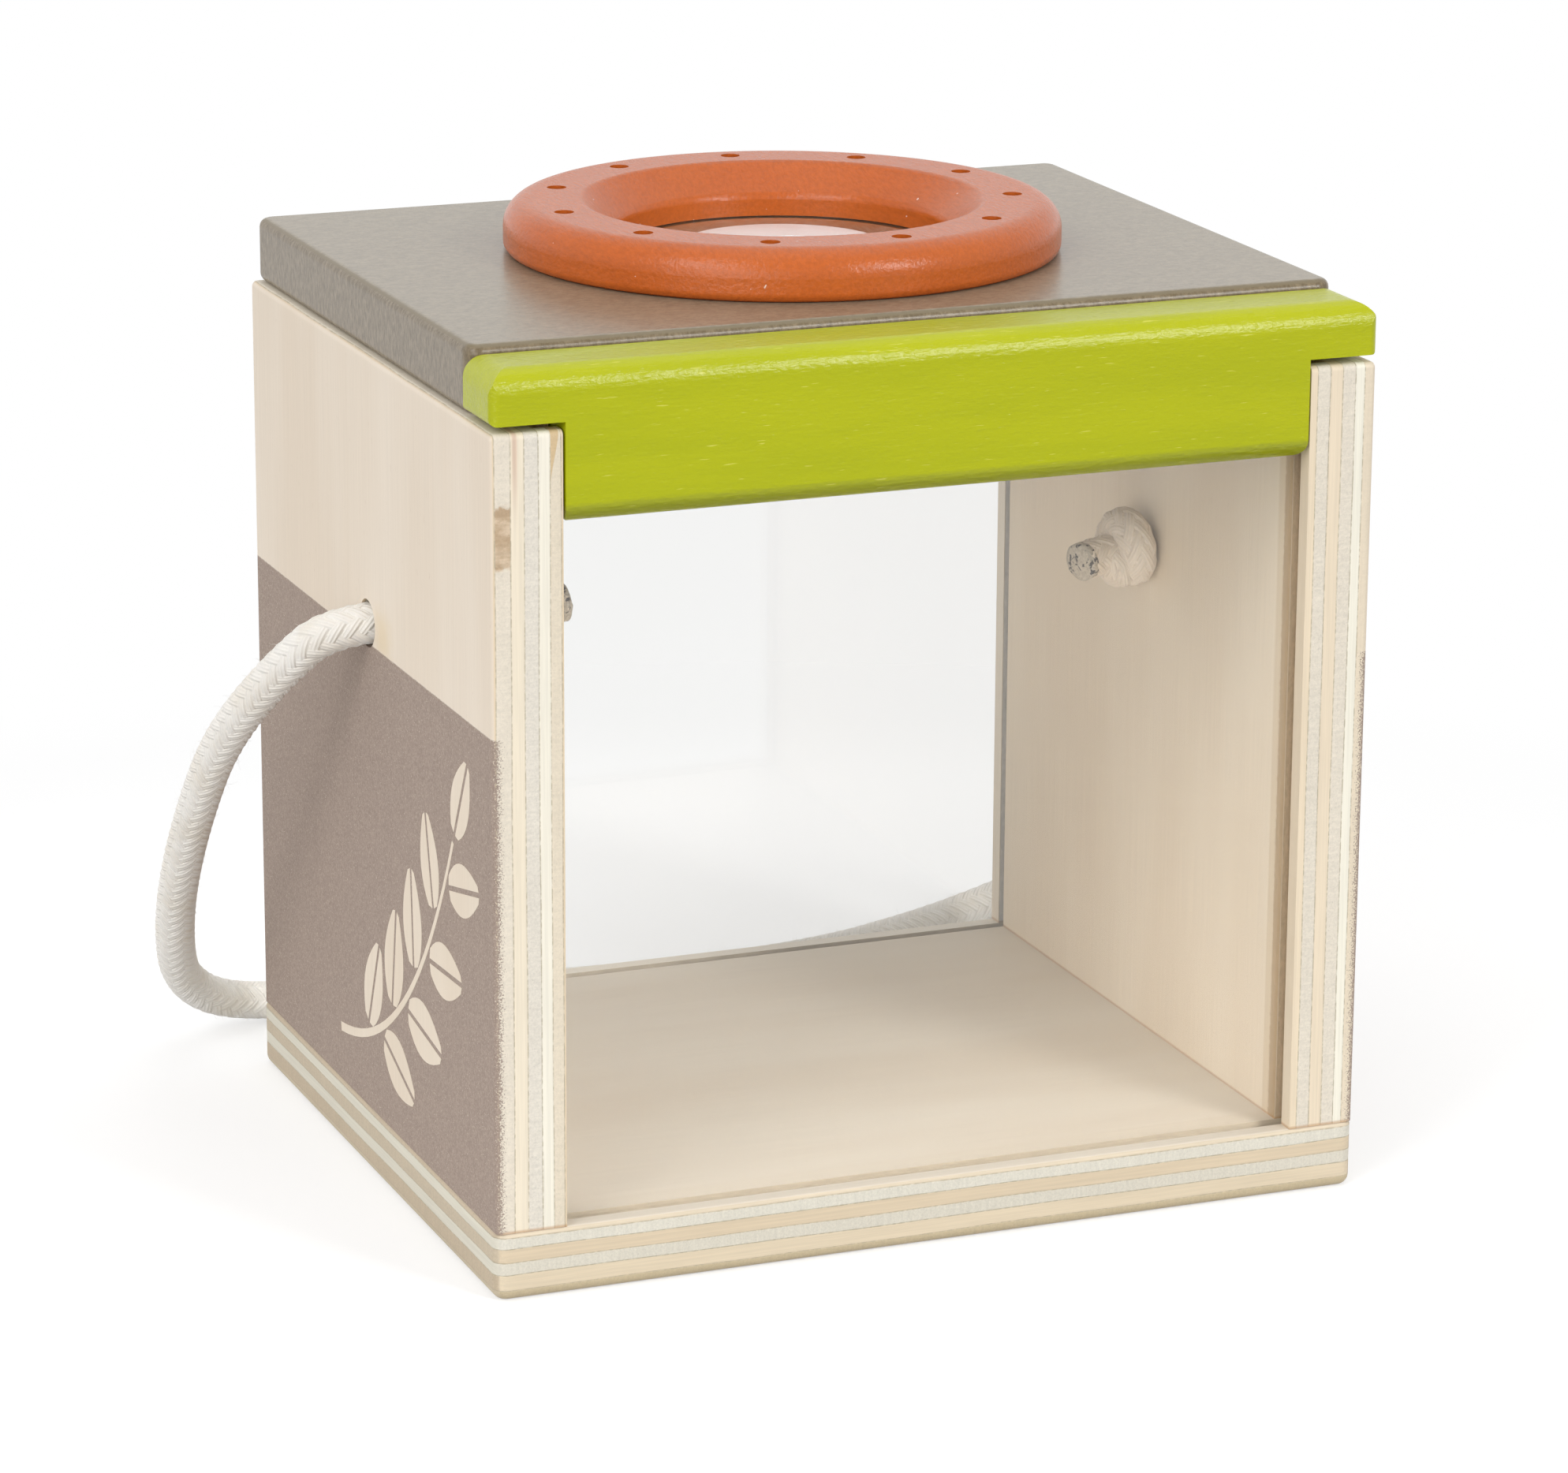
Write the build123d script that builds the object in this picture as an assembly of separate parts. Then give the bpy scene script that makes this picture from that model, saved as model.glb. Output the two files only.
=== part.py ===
from build123d import *
import math
import os

# Wooden bug-viewing box. Millimetres, +Z up, front faces -Y.
# The origin is the middle of the base's underside.

os.makedirs("parts", exist_ok=True)

# Base and walls
box_width = 120.0
box_depth = 100.0
base_thickness = 9.0
base_corner_round = 1.8
base_bottom_round = 1.4
base_top_round = 0.6
wall_thickness = 9.3
wall_height = 102.7
wall_inset = 0.2
wall_edge_round = 0.8

# Panes and their grooves
pane_thickness = 2.4
door_pane_clearance = 0.3
fixed_pane_clearance = 0.1
pane_setback = 4.0
groove_depth = 3.0
pane_head_gap = 0.2

# Cord and its holes
cord_dia = 5.0
cord_hole_dia = 6.4
cord_axis_height = 76.0
knot_gap = 0.3
tube_end = 0.3

# Top panel
panel_thickness = 8.7
panel_inset = 0.9
panel_corner_round = 2.0
panel_edge_round = 1.2
panel_door_gap = 0.4

# Grip bar of the door
bar_depth = 10.8
bar_seat_gap = 1.0
bar_height = 6.8
bar_drop = 12.6
bar_wall_gap = 0.3
bar_top_round = 3.0
bar_back_round = 0.7
bar_end_round = 3.2
bar_front_corner = 1.2
bar_back_corner = 0.6
bar_under_corner = 0.8
bar_drop_left_corner = 0.6
bar_drop_right_corner = 2.2
bar_drop_round = 1.6
bar_slot_height = 7.6
bar_glue_gap = 0.05

# Magnifier
ring_radius = 36.8
ring_height = 6.7
ring_top_round = 3.6
ring_foot_round = 1.2
ring_mouth_radius = 26.4
ring_bore_radius = 21.6
ring_bore_height = 2.8
ring_mouth_round = 1.2
air_hole_count = 11
air_hole_dia = 2.6
air_hole_circle = 30.5
lens_radius = 23.2
lens_rim = 1.9
lens_seat_gap = 0.1
lens_dome_radius = 21.0
lens_top_rise = 1.6
lens_bottom_drop = 2.6
lens_under_radius = 20.2
lens_window_radius = 20.6

# Dowels
dowel_dia = 4.0
dowel_glue_gap = 0.1
dowel_end_gap = 0.3
dowel_spacing = 50.0
base_dowel_low = 6.0
base_dowel_high = 8.0
panel_dowel_low = 8.0
panel_dowel_high = 4.8

# Places that follow from the sizes above
wall_outer = box_width / 2 - wall_inset
wall_inner = wall_outer - wall_thickness
wall_middle = (wall_outer + wall_inner) / 2
wall_face = box_depth / 2 - wall_inset
wall_top = base_thickness + wall_height
panel_half = wall_outer - panel_inset
panel_top = wall_top + panel_thickness
pane_y = box_depth / 2 - pane_setback
pane_bottom = base_thickness - groove_depth
groove_half = wall_inner + groove_depth
bar_front = -box_depth / 2
bar_back = bar_front + bar_depth
bar_bottom = wall_top + bar_seat_gap
bar_top = bar_bottom + bar_height
drop_bottom = bar_bottom - bar_drop
drop_half = wall_inner - bar_wall_gap
slot_top = drop_bottom + bar_slot_height
panel_front = bar_back + panel_door_gap
panel_y = (panel_front + wall_face) / 2
cord_radius = cord_dia / 2

# The door's pane runs in the front grooves, the other is fixed in the rear ones
pane_clearances = {-1: door_pane_clearance, 1: fixed_pane_clearance}


def board(x0, x1, y0, y1, z0, z1):
    """A square-edged board between two corners."""
    middle = Location(((x0 + x1) / 2, (y0 + y1) / 2, (z0 + z1) / 2))
    return middle * Box(x1 - x0, y1 - y0, z1 - z0)


def edges_at(solid, height):
    """The edges that lie flat at one height."""
    return [e for e in solid.edges() if abs(e.center().Z - height) < 1e-3]


def corners(face, x, y):
    """The corners of a drawn outline at one place."""
    return [v for v in face.vertices() if abs(v.X - x) < 1e-3 and abs(v.Y - y) < 1e-3]


def peg(x, y, z0, z1, diameter):
    """An upright round peg or drill."""
    return Location((x, y, (z0 + z1) / 2)) * Cylinder(diameter / 2, z1 - z0)


def peg_places():
    """Where the dowels stand, two in each wall."""
    return [(sx * wall_middle, sy * dowel_spacing / 2) for sx in (-1, 1) for sy in (-1, 1)]


def air_hole_places():
    """The air holes lie evenly on a circle, one of them straight to the left."""
    step = 2 * math.pi / air_hole_count
    turns = [math.pi + step * i for i in range(air_hole_count)]
    return [(air_hole_circle * math.cos(t), panel_y + air_hole_circle * math.sin(t)) for t in turns]


def pegs(z0, z1, diameter):
    """One peg at each dowel's place."""
    return [peg(x, y, z0, z1, diameter) for x, y in peg_places()]


def groove(end, x0, x1, z0, z1):
    """The cutter for one pane's groove, at the front or the rear."""
    half = pane_thickness / 2 + pane_clearances[end]
    return board(x0, x1, end * pane_y - half, end * pane_y + half, z0, z1)


dowel_drill = dowel_dia + 2 * dowel_glue_gap
base_pins = (base_thickness - base_dowel_low, base_thickness + base_dowel_high)
panel_pins = (wall_top - panel_dowel_low, wall_top + panel_dowel_high)
base_drills = pegs(base_pins[0] - dowel_end_gap, base_pins[1] + dowel_end_gap, dowel_drill)
panel_drills = pegs(panel_pins[0] - dowel_end_gap, panel_pins[1] + dowel_end_gap, dowel_drill)

# Base board with a blind groove for each pane
half_w = box_width / 2
half_d = box_depth / 2
base = board(-half_w, half_w, -half_d, half_d, 0, base_thickness)
base = fillet(base.edges().filter_by(Axis.Z), base_corner_round)
base = fillet(edges_at(base, 0), base_bottom_round)
base = fillet(edges_at(base, base_thickness), base_top_round)
for end in pane_clearances:
    base -= groove(end, -groove_half, groove_half, pane_bottom, base_thickness + 1)
for drill in base_drills:
    base -= drill


def wall(side):
    """A side wall with its two pane grooves, its cord hole and its dowel holes."""
    inner, outer = sorted((side * wall_inner, side * wall_outer))
    body = board(inner, outer, -wall_face, wall_face, base_thickness, wall_top)
    upright = list(body.edges().filter_by(Axis.Z)) + edges_at(body, wall_top)
    rounded = [e for e in upright if abs(e.center().X - side * wall_inner) > 1e-3]
    body = fillet(rounded, wall_edge_round)
    near, far = sorted((side * groove_half, side * (wall_inner - 1)))
    for end in pane_clearances:
        body -= groove(end, near, far, base_thickness - 1, wall_top + 1)
    hole = Cylinder(cord_hole_dia / 2, wall_thickness + 2)
    body -= Location((side * wall_middle, 0, cord_axis_height), (0, 90, 0)) * hole
    for drill in base_drills + panel_drills:
        body -= drill
    return body


left_wall = wall(-1)
right_wall = wall(1)


def pane(end, head):
    """A clear pane that stands in the base's groove up to one height."""
    half = groove_half - pane_clearances[end]
    half_t = pane_thickness / 2
    return board(-half, half, end * pane_y - half_t, end * pane_y + half_t, pane_bottom, head)


# Panes: the rear one is fixed under the panel, the front one hangs in the bar
rear_pane = pane(1, wall_top - pane_head_gap)
front_pane = pane(-1, slot_top - bar_glue_gap)

# Grip bar: what its front, end and top views have in common, less the pane's slot
front_view = make_face(Polyline(
    (-wall_outer, bar_bottom), (-drop_half, bar_bottom), (-drop_half, drop_bottom),
    (drop_half, drop_bottom), (drop_half, bar_bottom), (wall_outer, bar_bottom),
    (wall_outer, bar_top), (-wall_outer, bar_top), close=True,
))
for x in (-wall_outer, wall_outer):
    front_view = fillet(corners(front_view, x, bar_top), bar_end_round)
    front_view = fillet(corners(front_view, x, bar_bottom), bar_under_corner)
front_view = fillet(corners(front_view, -drop_half, drop_bottom), bar_drop_left_corner)
front_view = fillet(corners(front_view, drop_half, drop_bottom), bar_drop_right_corner)
end_view = make_face(Polyline(
    (bar_front, drop_bottom), (bar_back, drop_bottom), (bar_back, bar_top), (bar_front, bar_top), close=True,
))
end_view = fillet(corners(end_view, bar_front, bar_top), bar_top_round)
end_view = fillet(corners(end_view, bar_back, bar_top), bar_back_round)
end_view = fillet(corners(end_view, bar_front, drop_bottom), bar_drop_round)
top_view = make_face(Polyline(
    (-wall_outer, bar_front), (wall_outer, bar_front), (wall_outer, bar_back), (-wall_outer, bar_back), close=True,
))
for x in (-wall_outer, wall_outer):
    top_view = fillet(corners(top_view, x, bar_front), bar_front_corner)
    top_view = fillet(corners(top_view, x, bar_back), bar_back_corner)
facing_front = Plane(origin=(0, bar_front, 0), x_dir=(1, 0, 0), z_dir=(0, -1, 0))
door_bar = facing_front * extrude(front_view, -bar_depth)
door_bar &= Plane.YZ * extrude(end_view, wall_outer, both=True)
door_bar &= Location((0, 0, drop_bottom)) * extrude(top_view, bar_top - drop_bottom)
half_slot = pane_thickness / 2 + bar_glue_gap
door_bar -= board(
    -wall_outer, wall_outer, -pane_y - half_slot, -pane_y + half_slot, drop_bottom - 1, slot_top,
)

# Top panel with the lens seat, the lens window and the air holes
panel = board(-panel_half, panel_half, panel_front, wall_face, wall_top, panel_top)
panel = fillet(panel.edges().filter_by(Axis.Z), panel_corner_round)
panel = fillet(edges_at(panel, wall_top) + edges_at(panel, panel_top), panel_edge_round)
lens_floor = panel_top - lens_rim - lens_seat_gap
panel -= peg(0, panel_y, wall_top - 1, panel_top + 1, 2 * lens_window_radius)
panel -= peg(0, panel_y, lens_floor, panel_top + 1, 2 * (lens_radius + lens_seat_gap))
for x, y in air_hole_places():
    panel -= peg(x, y, wall_top - 1, panel_top + 1, air_hole_dia)
for drill in panel_drills:
    panel -= drill

# Magnifier ring, turned, with a bevelled mouth and a row of air holes
profile = make_face(Polyline(
    (ring_bore_radius, 0), (ring_radius, 0), (ring_radius, ring_height),
    (ring_mouth_radius, ring_height), (ring_bore_radius, ring_bore_height), close=True,
))
profile = fillet(corners(profile, ring_radius, ring_height), ring_top_round)
profile = fillet(corners(profile, ring_radius, 0), ring_foot_round)
profile = fillet(corners(profile, ring_mouth_radius, ring_height), ring_mouth_round)
profile = fillet(corners(profile, ring_bore_radius, ring_bore_height), ring_mouth_round)
ring = revolve(Plane.XZ * profile, Axis.Z)
ring = Location((0, panel_y, panel_top)) * ring
for x, y in air_hole_places():
    ring -= peg(x, y, panel_top - 1, panel_top + ring_height + 1, air_hole_dia)

# Lens, domed on both sides, with a flat rim that the ring holds down
def cap(radius, rise):
    """A shallow ball cap that stands on the plane z = 0."""
    ball_radius = (radius ** 2 + rise ** 2) / (2 * rise)
    ball = Location((0, 0, rise - ball_radius)) * Sphere(ball_radius)
    above = Location((0, 0, rise)) * Cylinder(radius + 1, 2 * rise)
    return ball & above


lens = Location((0, 0, lens_rim / 2)) * Cylinder(lens_radius, lens_rim)
lens += Location((0, 0, lens_rim)) * cap(lens_dome_radius, lens_top_rise)
lens += Location((0, 0, 0), (180, 0, 0)) * cap(lens_under_radius, lens_bottom_drop)
lens = Location((0, panel_y, lens_floor)) * lens

# Handle cord: it leaves each wall, falls back and lies on the floor behind the box.
# Points on each side of the box: distance from the middle, then back, then up.
floor_rest = cord_radius + 0.1
cord_start = wall_inner - tube_end
left_fall = [
    (cord_start, 0.0, cord_axis_height), (62.6, 0.0, cord_axis_height), (69.6, 6.7, 68.6),
    (72.7, 18.1, 56.0), (73.8, 30.9, 41.9), (73.6, 43.0, 28.6), (72.5, 53.0, 17.5),
    (69.2, 60.0, 9.8), (62.9, 64.3, 5.0), (54.0, 66.2, 3.0),
]
right_fall = [
    (cord_start, 0.0, cord_axis_height), (62.6, 0.0, cord_axis_height), (69.6, 6.7, 68.6),
    (72.7, 18.1, 56.0), (73.9, 31.2, 42.0), (73.9, 44.2, 29.2), (72.9, 55.0, 19.0),
    (69.5, 63.6, 11.4), (63.1, 68.2, 6.7), (54.2, 69.2, 3.7), (45.0, 66.6, floor_rest),
]
# Points on the floor behind the box: across, then back
floor_run = [(-38.0, 64.0), (-14.0, 59.6), (10.0, 58.2), (30.0, 60.6)]

route = [Vector(-x, y, z) for x, y, z in left_fall]
route += [Vector(x, y, floor_rest) for x, y in floor_run]
route += [Vector(x, y, z) for x, y, z in reversed(right_fall)]


def rounded_line(points):
    """Straight runs joined by tangent arcs, each arc as wide as its runs allow."""
    pieces = []
    radii = []
    here = points[0]
    for before, corner, after in zip(points, points[1:], points[2:]):
        into = (corner - before).normalized()
        out = (after - corner).normalized()
        half_turn = math.acos(max(-1, min(1, into.dot(out)))) / 2
        cut = 0.45 * min((corner - before).length, (after - corner).length)
        radius = cut / math.tan(half_turn)
        start = corner - into * cut
        end = corner + out * cut
        centre = corner + (out - into).normalized() * (radius / math.cos(half_turn))
        middle = centre + (corner - centre).normalized() * radius
        pieces.append(Line(here, start))
        pieces.append(ThreePointArc(start, middle, end))
        radii.append(radius)
        here = end
    pieces.append(Line(here, points[-1]))
    return Wire(pieces), radii


cord_line, cord_radii = rounded_line(route)
first_way = (route[1] - route[0]).normalized()
cord_section = Plane(origin=route[0], z_dir=first_way) * Circle(cord_radius)
cord = sweep(cord_section, path=cord_line, transition=Transition.RIGHT)
whole = math.pi * cord_radius ** 2 * cord_line.length
print("cord length", round(cord_line.length, 1), "volume share", round(cord.volume / whole, 4))
print("cord bend radii", [round(r, 1) for r in cord_radii])
print("cord runs", [round((b - a).length, 1) for a, b in zip(route, route[1:])])

# Knots: a doubled turn of the cord against the wall's inner face, and the cut tail
knot_turn_radius = 3.2
knot_turn_tilt = 18.0
knot_thickness = 2.3
knot_body = 3.6
left_tail = 9.5
right_tail = 2.6


def knot(side, tail, drift, lift):
    """A stopper knot inside one wall, with its tail leaning off the axis."""
    tilt = math.radians(knot_turn_tilt)
    deep = knot_thickness * 1.02 + knot_turn_radius * math.sin(tilt)
    x = side * (wall_inner - knot_gap - deep)
    centre = Location((x, 0, cord_axis_height))
    turn = Location((0, 0, 0), (0, 90, 0)) * Torus(knot_turn_radius, knot_thickness)
    body = centre * Location((0, 0, 0), (0, 0, knot_turn_tilt)) * turn
    inward = -side * knot_thickness * 0.9
    second = Location((inward, 0, 0), (0, 0, -knot_turn_tilt)) * turn
    body += centre * second
    body += centre * Location((inward / 2, 0, 0)) * Sphere(knot_body)
    start = Vector(x, 0, cord_axis_height)
    way = Vector(-side * 1.0, drift, lift).normalized()
    length = tail + 2 * knot_thickness
    body += Plane(origin=start + way * length / 2, z_dir=way) * Cylinder(cord_radius, length)
    neck = wall_inner - tube_end - abs(x)
    body += Location((side * (abs(x) + neck / 2), 0, cord_axis_height), (0, 90, 0)) * Cylinder(cord_radius, neck)
    return body


left_knot = knot(-1, left_tail, 0.04, 0.0)
right_knot = knot(1, right_tail, -0.3, -0.12)

base_dowels = Compound(pegs(*base_pins, dowel_dia))
panel_dowels = Compound(pegs(*panel_pins, dowel_dia))

nodes = {
    "base_board": base,
    "left_wall": left_wall,
    "right_wall": right_wall,
    "base_dowels": base_dowels,
    "rear_pane": rear_pane,
    "front_pane": front_pane,
    "door_bar": door_bar,
    "top_panel": panel,
    "panel_dowels": panel_dowels,
    "magnifier_ring": ring,
    "magnifier_lens": lens,
    "handle_cord": cord,
    "left_knot": left_knot,
    "right_knot": right_knot,
}
for name, shape in nodes.items():
    export_step(shape, f"parts/{name}.step")
    box = shape.bounding_box()
    print(name, len(shape.solids()), "solid", round(shape.volume), "mm3", box.min, box.max)
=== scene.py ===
import bmesh
import bpy
import math
import random
from mathutils import Matrix, Vector, noise

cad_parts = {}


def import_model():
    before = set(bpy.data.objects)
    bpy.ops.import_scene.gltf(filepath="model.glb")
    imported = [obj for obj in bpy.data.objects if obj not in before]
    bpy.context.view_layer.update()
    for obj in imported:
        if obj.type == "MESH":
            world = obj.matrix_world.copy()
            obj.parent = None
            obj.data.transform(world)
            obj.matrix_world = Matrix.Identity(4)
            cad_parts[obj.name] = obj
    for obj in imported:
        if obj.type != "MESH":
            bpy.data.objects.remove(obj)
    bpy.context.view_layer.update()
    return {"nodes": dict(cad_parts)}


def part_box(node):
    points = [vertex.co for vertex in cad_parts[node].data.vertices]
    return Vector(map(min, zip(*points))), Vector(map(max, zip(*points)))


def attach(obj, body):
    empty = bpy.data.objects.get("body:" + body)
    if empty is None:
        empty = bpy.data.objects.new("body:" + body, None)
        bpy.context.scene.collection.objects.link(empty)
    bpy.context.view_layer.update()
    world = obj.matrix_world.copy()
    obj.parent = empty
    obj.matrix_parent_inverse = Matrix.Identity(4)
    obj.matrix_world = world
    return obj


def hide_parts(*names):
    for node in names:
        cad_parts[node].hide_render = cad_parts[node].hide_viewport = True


# Wooden bug-viewing box: finishes, braided cord, knots, printed walls, light and camera.
# Metres, +Z up, front faces -Y. Procedural textures count in millimetres.

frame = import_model()
nodes = frame["nodes"]

MM = 0.001
wall_low, wall_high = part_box("left_wall")
base_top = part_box("base_board")[1][2]
pane_low, pane_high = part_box("front_pane")
bar_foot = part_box("door_bar")[0][2]

wall_outer = -wall_low[0]
wall_inner = -wall_high[0]
wall_foot = wall_low[2]
wall_mm = (wall_outer - wall_inner) / MM
pane_y = -(pane_low[1] + pane_high[1]) / 2

# Camera, as fitted to the box corners in the photograph
IMAGE_WIDTH = 1988
CAMERA_PLACE = Vector((-0.28641, -0.71275, 0.27475))
CAMERA_AZIMUTH = math.radians(-21.783)
CAMERA_ELEVATION = math.radians(15.990)
CAMERA_ROLL = math.radians(0.298)
SENSOR_WIDTH = 36.0
FOCAL_PIXELS = 7552.3

# Handle cord: the route's points as chosen, from the middle outwards, then back, then up
HOLE_HEIGHT = 0.076
CORD_DIAMETER = 0.005
CORD_START = 0.0502
FLOOR_REST = 0.0028
LEFT_FALL = [
    (CORD_START, 0.0, HOLE_HEIGHT), (0.0638, 0.0002, 0.0767), (0.0698, 0.0067, 0.0690),
    (0.0743, 0.0188, 0.0569), (0.0749, 0.0314, 0.0424), (0.0741, 0.0432, 0.0287), (0.0719, 0.0528, 0.0175),
    (0.0689, 0.0600, 0.0101), (0.0629, 0.0643, 0.0050), (0.0540, 0.0662, 0.0030),
]
RIGHT_FALL = [
    (CORD_START, 0.0, HOLE_HEIGHT), (0.0636, 0.0, HOLE_HEIGHT), (0.0696, 0.0067, 0.0686),
    (0.0727, 0.0181, 0.0560), (0.0739, 0.0312, 0.0420), (0.0739, 0.0442, 0.0292), (0.0729, 0.0550, 0.0190),
    (0.0695, 0.0636, 0.0114), (0.0631, 0.0682, 0.0067), (0.0542, 0.0692, 0.0037),
    (0.0450, 0.0666, FLOOR_REST),
]
FLOOR_RUN = [(-0.0380, 0.0640), (-0.0140, 0.0596), (0.0100, 0.0582), (0.0300, 0.0606)]


def camera():
    """The photograph's viewpoint, as a plain camera with no shift."""
    back = Vector((
        math.sin(CAMERA_AZIMUTH) * math.cos(CAMERA_ELEVATION),
        -math.cos(CAMERA_AZIMUTH) * math.cos(CAMERA_ELEVATION),
        math.sin(CAMERA_ELEVATION),
    ))
    right = Vector((math.cos(CAMERA_AZIMUTH), math.sin(CAMERA_AZIMUTH), 0))
    up = back.cross(right)
    c, s = math.cos(CAMERA_ROLL), math.sin(CAMERA_ROLL)
    turned_right = c * right + s * up
    turned_up = c * up - s * right
    data = bpy.data.cameras.new("camera")
    data.sensor_fit = "HORIZONTAL"
    data.sensor_width = SENSOR_WIDTH
    data.lens = FOCAL_PIXELS * SENSOR_WIDTH / IMAGE_WIDTH
    data.clip_end = 20
    holder = bpy.data.objects.new("camera", data)
    turn = Matrix((turned_right, turned_up, back)).transposed().to_4x4()
    holder.matrix_world = Matrix.Translation(CAMERA_PLACE) @ turn
    bpy.context.scene.collection.objects.link(holder)
    bpy.context.scene.camera = holder


def linear(red, green, blue):
    """A colour given in 0 to 255 display values, as the shader wants it."""
    def one(value):
        value /= 255
        return value / 12.92 if value <= 0.04045 else ((value + 0.055) / 1.055) ** 2.4
    return (one(red), one(green), one(blue), 1)


class Tree:
    """A material's node tree. Each call adds a node and gives its output socket."""

    def __init__(self, name):
        self.material = bpy.data.materials.new(name)
        self.material.use_nodes = True
        self.nodes = self.material.node_tree.nodes
        self.links = self.material.node_tree.links
        self.nodes.clear()
        self.coordinates = self.node("TexCoord")
        self.place = self.vector("MULTIPLY", self.coordinates.outputs["Object"], [1 / MM] * 3)
        apart = self.node("SeparateXYZ", {0: self.place})
        self.x, self.y, self.z = apart.outputs
        facing = self.node("SeparateXYZ", {0: self.coordinates.outputs["Normal"]})
        self.nx, self.ny, self.nz = [self.math("ABSOLUTE", out) for out in facing.outputs]

    def node(self, kind, inputs=None, **settings):
        made = self.nodes.new("ShaderNode" + kind)
        for key, value in settings.items():
            setattr(made, key, value)
        for key, value in (inputs or {}).items():
            self.feed(made.inputs[key], value)
        return made

    def feed(self, socket, value):
        if isinstance(value, bpy.types.NodeSocket):
            self.links.new(value, socket)
        else:
            socket.default_value = value

    def math(self, operation, a, b=0.0, c=0.0):
        return self.node("Math", {0: a, 1: b, 2: c}, operation=operation).outputs[0]

    def vector(self, operation, a, b):
        return self.node("VectorMath", {0: a, 1: b}, operation=operation).outputs[0]

    def stretch(self, x, y, z):
        """The place in millimetres, with its own scale on each axis."""
        return self.vector("MULTIPLY", self.place, (x, y, z))

    def noise(self, vector, scale=1.0, detail=3.0, roughness=0.55):
        inputs = {"Vector": vector, "Scale": scale, "Detail": detail, "Roughness": roughness}
        return self.node("TexNoise", inputs).outputs[0]

    def step(self, value, low, high, to_low=0.0, to_high=1.0):
        """A smooth step from to_low at low to to_high at high."""
        inputs = {"Value": value, "From Min": low, "From Max": high, "To Min": to_low, "To Max": to_high}
        return self.node("MapRange", inputs, interpolation_type="SMOOTHSTEP").outputs[0]

    def spread(self, value, low, high):
        """Maps a noise of 0 to 1 on a range."""
        return self.math("MULTIPLY_ADD", value, high - low, low)

    def mix(self, factor, a, b, blend="MIX"):
        made = self.node("Mix", data_type="RGBA", blend_type=blend)
        for index, value in ((0, factor), (6, a), (7, b)):
            self.feed(made.inputs[index], value)
        return made.outputs[2]

    def blend(self, factor, a, b):
        """A value between two others."""
        return self.node("Mix", {0: factor, 2: a, 3: b}).outputs[0]

    def shade(self, colour, amount):
        """A colour made lighter or darker by a grey factor."""
        grey = self.node("CombineColor", {0: amount, 1: amount, 2: amount}).outputs[0]
        return self.mix(1.0, colour, grey, "MULTIPLY")

    def bump(self, height, distance, strength=1.0, normal=None):
        inputs = {"Height": height, "Distance": distance * MM, "Strength": strength}
        if normal:
            inputs["Normal"] = normal
        return self.node("Bump", inputs).outputs[0]

    def finish(self, **inputs):
        """Ends the tree in one Principled shader."""
        named = {key.replace("_", " "): value for key, value in inputs.items()}
        shader = self.node("BsdfPrincipled", named)
        return self.output(shader.outputs[0])

    def output(self, shader):
        self.node("OutputMaterial", {0: shader})
        return self.material


def mesh_object(name, bm, *materials):
    """Ends a bmesh and puts it in the scene as an object."""
    mesh = bpy.data.meshes.new(name)
    bm.to_mesh(mesh)
    bm.free()
    for material in materials:
        mesh.materials.append(material)
    made = bpy.data.objects.new(name, mesh)
    bpy.context.scene.collection.objects.link(made)
    return made


# Plywood

VENEER = linear(227, 212, 193)
VENEER_PALE = linear(232, 219, 202)
VENEER_WARM = linear(220, 202, 178)
TICK = linear(180, 152, 122)
GLUE_BROWN = linear(186, 142, 94)
# Partly the sawn wood's colour, partly painted shade of the front groove
GROOVE_BROWN_AND_SHADE = linear(206, 180, 147)
# Painted light: lighter than the veneer, lifting the shade in the rear groove
GROOVE_PAINTED_LIGHT = linear(240, 233, 224)
RUBBED = linear(206, 184, 150)
# A darker brown for the strip behind the front groove: partly wood colour, partly painted shade
STRIP_BROWN_AND_SHADE = linear(184, 156, 120)
EDGE_TAN = linear(226, 207, 178)
GLUE_LINE = linear(176, 163, 138)
# Painted light: lightens and warms the walls' inner faces, standing in for the light inside the box
INNER_PAINTED_LIGHT = (1.1, 1.098, 1.062, 1)
# Painted shade: darkens the floor inside the box a little and takes some pink out, evening out the lamp
# light on it
FLOOR_PAINTED_SHADE = (0.945, 0.965, 0.965, 1)
PIN_TONE = (0.86, 0.78, 0.66, 1)
MOTIF_TONE = (0.99, 0.985, 0.97, 1)
STAIN = linear(224, 201, 160)
HOLE_STAIN = (-wall_outer / MM, -6.5, 75.5)
STAIN_REACH = (0.5, 5.5)
PRINT_TAUPE = linear(168, 150, 137)
PRINT_DARK = linear(146, 129, 118)
PRINT_TOP = 73.4
LINE_HALF = 0.11
PLY_BLUR = 0.07

# Places on the walls in mm: depths from the outer face, distances behind the front pane, heights
INNER_HALF = (4.0, 5.0)
GROOVE_FLOOR = (5.9, 6.2)
GROOVE_HALF = (1.53, 1.6)
RUBBED_REACH = (5.0, 5.6)
STRIP_BROWN_AND_SHADE_REACH = (3.3, 3.8)
KNOT_PATCH = (94.5, 103.0)
PINK_RISE = (99.0, 110.0)
WEDGE_RISE = (104.0, 113.0)
WEDGE_FOOT = (103.5, 106.0)
WEDGE_WIDTH = 1.3

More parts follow.
